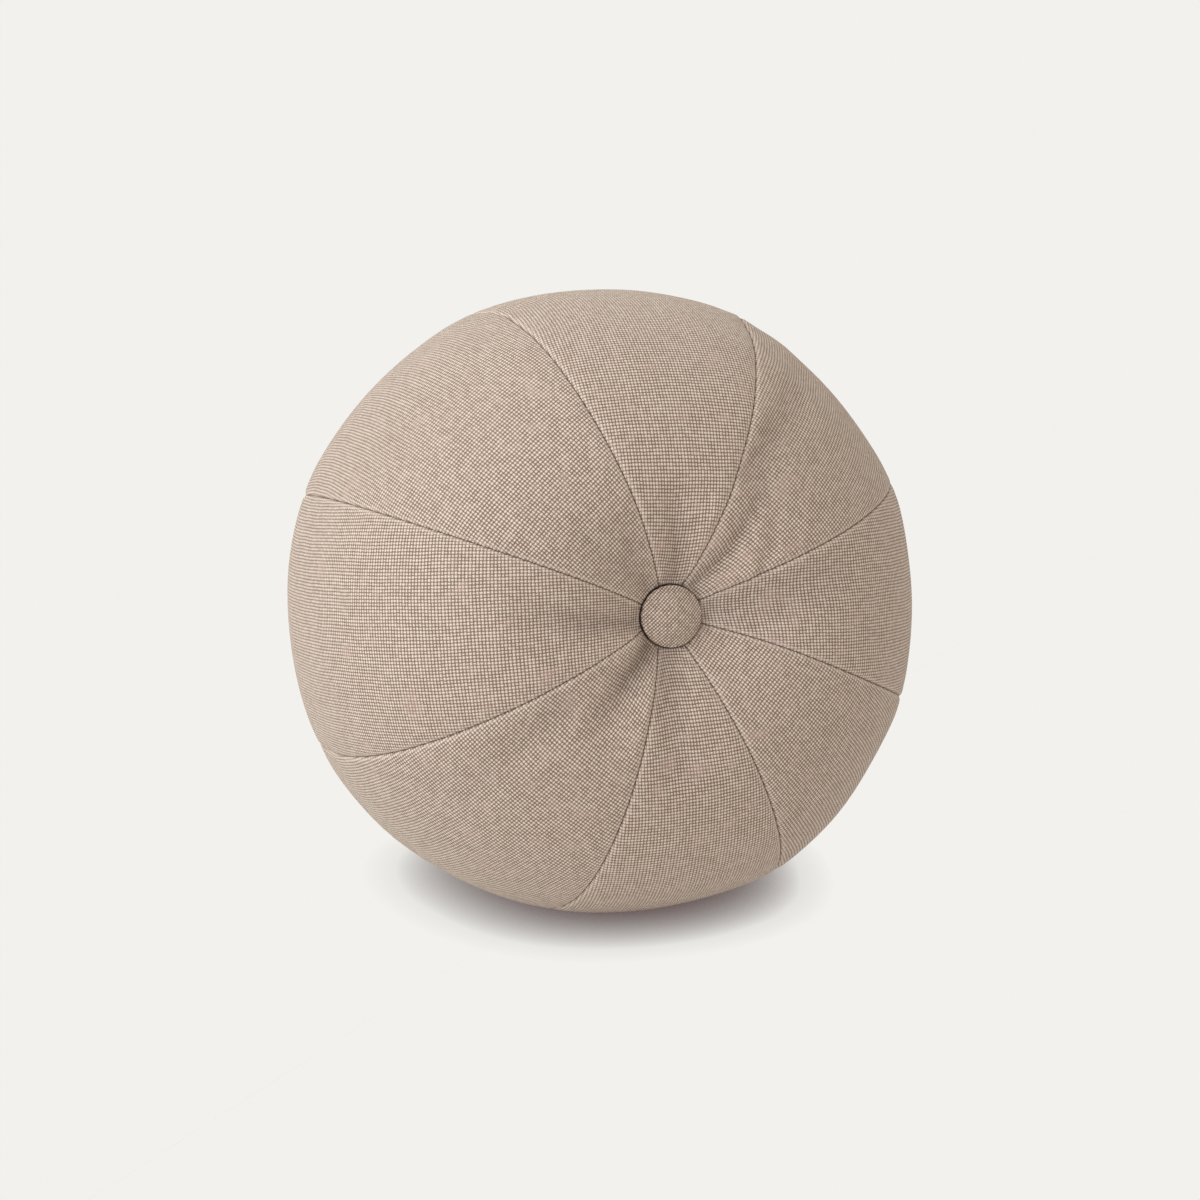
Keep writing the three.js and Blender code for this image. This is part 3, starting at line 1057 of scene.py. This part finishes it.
def cloth_material(name, pitch, saddle, uneven, turn=0.0, sewn=False):
    """The woven cloth, its threads turned by an angle, with painted shade and light at seams and
    folds if it is sewn.
    """
    material, wire, output = new_material(name)
    flat = wire.node("UVMap", uv_map="cloth")
    turned = wire.node("VectorRotate", {"Vector": flat, "Angle": turn}, rotation_type="Z_AXIS")
    u, v = strayed(wire, turned)
    height, chance = weave(wire, u, v, pitch, saddle)
    colour = yarn_colour(wire, height, chance, uneven)
    if sewn:
        # painted shade in folds, and painted light on ridges
        shade = (written(wire, "fold") * -FOLD_PAINTED_SHADE).math("EXPONENT")
        colour = wire.node("VectorMath", {0: colour, "Scale": shade}, operation="SCALE")
        colour = sewn_edges(wire, colour)
    # painted shade where the cloth tucks in under a button
    colour = blend(written(wire, "tucked") * TUCKED_PAINTED_SHADE, colour, PAINTED_GAP_SHADE)
    surface = wire.node(
        "BsdfPrincipled",
        {
            "Base Color": colour,
            "Roughness": ROUGH + chance * ROUGH_MORE,
            "Normal": wire.node("Bump", {"Height": height, "Distance": BUMP_HEIGHT}),
            "Specular IOR Level": 0.2,
            "Sheen Weight": 0.2,
            "Sheen Roughness": 0.5,
            "Sheen Tint": (1.0, 0.89, 0.75, 1),
        },
    )
    material.node_tree.links.new(surface.socket, output.inputs["Surface"])
    return material


print("cloth can be cut from this")

# %% Cover material
THREAD = (0.00151, 0.00166)
SADDLE = (0.40, 0.44)
UNEVEN = 0.18  # how far one bead differs from the next

cover = add_object("ball_cover", cover_mesh)
cover_mesh.materials.append(cloth_material("cushion cloth", THREAD, SADDLE, UNEVEN, sewn=True))
print("cover material has", len(cover_mesh.materials[0].node_tree.nodes), "nodes")

# %% [markdown]
# ## The covered buttons
#
# A covered button is a shallow metal shell with a round of the same cloth stretched over it and
# tucked in behind. Its dome is low, and the cloth turns over the shell's edge in a tight curve. The
# cloth is cut on the bias, which lets it stretch over the dome without folds, so its threads run
# slantwise.
#
# The profile is drawn once, from the middle of the dome over the rim to the back, and spun. Small
# pleats at the rim, where the spare cloth goes behind, are pressed in afterwards.

# %% Button shape
BUTTON_RADIUS = 0.01425
BUTTON_HEIGHT = 0.0078
RIM_TOP = 0.0034
RIM_FOOT = 0.0012
RIM_ROUND = 0.0011
DOME_EDGE = 0.6  # share of the rim's round that the dome leaves free
TAPER = 0.0001
CLEARANCE = 0.0003
BUTTON_SPOKES = 96
DOME_RINGS = 22
RIM_RINGS = 6
FOOT_RINGS = 4
STRETCH = 0.35  # metres of cloth for each metre down, towards the rim


def button_profile():
    """Points (out, up) from the top of the dome to the middle of the back."""
    rise = BUTTON_HEIGHT - RIM_TOP
    dome_radius = (BUTTON_RADIUS**2 + rise**2) / (2 * rise)
    edge = math.asin((BUTTON_RADIUS - RIM_ROUND * DOME_EDGE) / dome_radius)
    points = []
    for ring in range(DOME_RINGS + 1):
        angle = edge * ring / DOME_RINGS
        drop = dome_radius * (1 - math.cos(angle))
        points.append((dome_radius * math.sin(angle), BUTTON_HEIGHT - drop))
    last_out, last_up = points[-1]
    for step in range(1, RIM_RINGS + 1):
        angle = math.pi / 2 * step / RIM_RINGS
        out = last_out + (BUTTON_RADIUS - last_out) * math.sin(angle)
        points.append((out, last_up - RIM_ROUND * (1 - math.cos(angle))))
    points.append((BUTTON_RADIUS - TAPER, (RIM_TOP + RIM_FOOT) / 2))
    for step in range(1, FOOT_RINGS + 1):
        angle = math.pi / 2 * step / FOOT_RINGS
        out = BUTTON_RADIUS - TAPER - RIM_FOOT * (1 - math.cos(angle))
        points.append((out, RIM_FOOT * (1 - math.sin(angle))))
    points.append((BUTTON_RADIUS / 2, 0.0))
    points.append((0.0, 0.0))
    return points


print("a button's profile has", len(button_profile()), "points")

# %% Pleats and lumps of a button
PLEATS = 22
PLEAT_DEPTH = 0.02  # share of the radius
PLEAT_TOP, PLEAT_FADE = 0.0040, 0.002  # pleats begin at this height and are full this far below
PLEAT_FROM = 0.8  # share of the radius inside which there are none
PLEAT_SHIFT = 1.3  # how uneven the pleats are, as an angle
BUTTON_LUMP, BUTTON_LUMP_SIZE = 0.00012, 0.006


def clamped(value):
    """A value kept from 0 to 1."""
    return min(1.0, max(0.0, value))


def pleated(position, seed):
    """Presses small pleats into the side of the button, and makes its dome a little uneven."""
    angle = math.atan2(position.y, position.x)
    out = math.hypot(position.x, position.y)
    low = clamped((PLEAT_TOP - position.z) / PLEAT_FADE)
    near_rim = max(0.0, (out / BUTTON_RADIUS - PLEAT_FROM) / (1 - PLEAT_FROM))
    wave = 0.5 + 0.5 * math.cos(PLEATS * angle + PLEAT_SHIFT * math.sin(3 * angle + seed))
    pressed = 1 - PLEAT_DEPTH * low * near_rim * wave
    lump = BUTTON_LUMP * noise.noise(position / BUTTON_LUMP_SIZE + Vector((seed, 0, 0)))
    up = max(0.0, position.z + lump * (1 - low))
    return Vector((position.x * pressed, position.y * pressed, up))


def covered_button(name, way, seed):
    """A button in its place on the cover. way is 1 in front and -1 behind."""
    bm = bmesh.new()
    chain = [bm.verts.new((out, 0, up)) for out, up in button_profile()]
    edges = [bm.edges.new(pair) for pair in zip(chain, chain[1:])]
    bmesh.ops.spin(
        bm,
        geom=chain + edges,
        cent=(0, 0, 0),
        axis=(0, 0, 1),
        angle=math.tau,
        steps=BUTTON_SPOKES,
        use_merge=True,
    )
    bmesh.ops.remove_doubles(bm, verts=bm.verts, dist=1e-6)
    flat_map = bm.loops.layers.uv.new("cloth")
    tucked_layer = bm.verts.layers.float.new("tucked")
    for face in bm.faces:
        for corner in face.loops:
            x, y, z = corner.vert.co
            out = max(math.hypot(x, y), 1e-9)
            stretched = out + max(0.0, BUTTON_HEIGHT - z) * STRETCH
            corner[flat_map].uv = (x / out * stretched, y / out * stretched)
    for vertex in bm.verts:
        # tucked is 1 below the rim, where the cloth gets painted shade
        vertex[tucked_layer] = clamped(1 - (vertex.co.z - RIM_FOOT) / (RIM_TOP - RIM_FOOT))
        vertex.co = pleated(vertex.co, seed)
    facing = Vector(front_way) * way
    turn = facing.to_track_quat("Z", "Y").to_matrix().to_4x4()
    base = CENTRE + facing * (pocket_floor + CLEARANCE)
    bmesh.ops.transform(bm, verts=bm.verts, matrix=Matrix.Translation(base) @ turn)
    mesh = mesh_of(bm, name)
    outward(mesh)
    return add_object(name, mesh)


buttons = {
    "button_front": covered_button("covered_button_front", 1, 1.0),
    "button_back": covered_button("covered_button_back", -1, 4.0),
}
print("each button has", len(buttons["button_front"].data.polygons), "faces")

# %% Button material
BUTTON_THREAD = (0.00126, 0.00136)
BUTTON_SADDLE = (0.25, 0.55)
BUTTON_UNEVEN = 0.25
BIAS = math.radians(-43)
button_cloth = cloth_material("button cloth", BUTTON_THREAD, BUTTON_SADDLE, BUTTON_UNEVEN, BIAS)
for button in buttons.values():
    button.data.materials.append(button_cloth)
print("buttons are covered in the same cloth, cut on the bias")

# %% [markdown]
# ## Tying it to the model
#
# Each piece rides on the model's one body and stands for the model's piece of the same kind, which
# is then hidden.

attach(cover, "root")
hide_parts("cushion")
for node, button in buttons.items():
    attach(button, "root")
    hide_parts(node)

# %% [markdown]
# ## Size
#
# The dressed cushion has to be as large as the model. Its box is written down.

# %% Write the dressed box
new_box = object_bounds()
dressed_size = [round(1000 * side, 1) for side in new_box[1] - new_box[0]]
print("box of the dressed cushion in mm:", dressed_size)
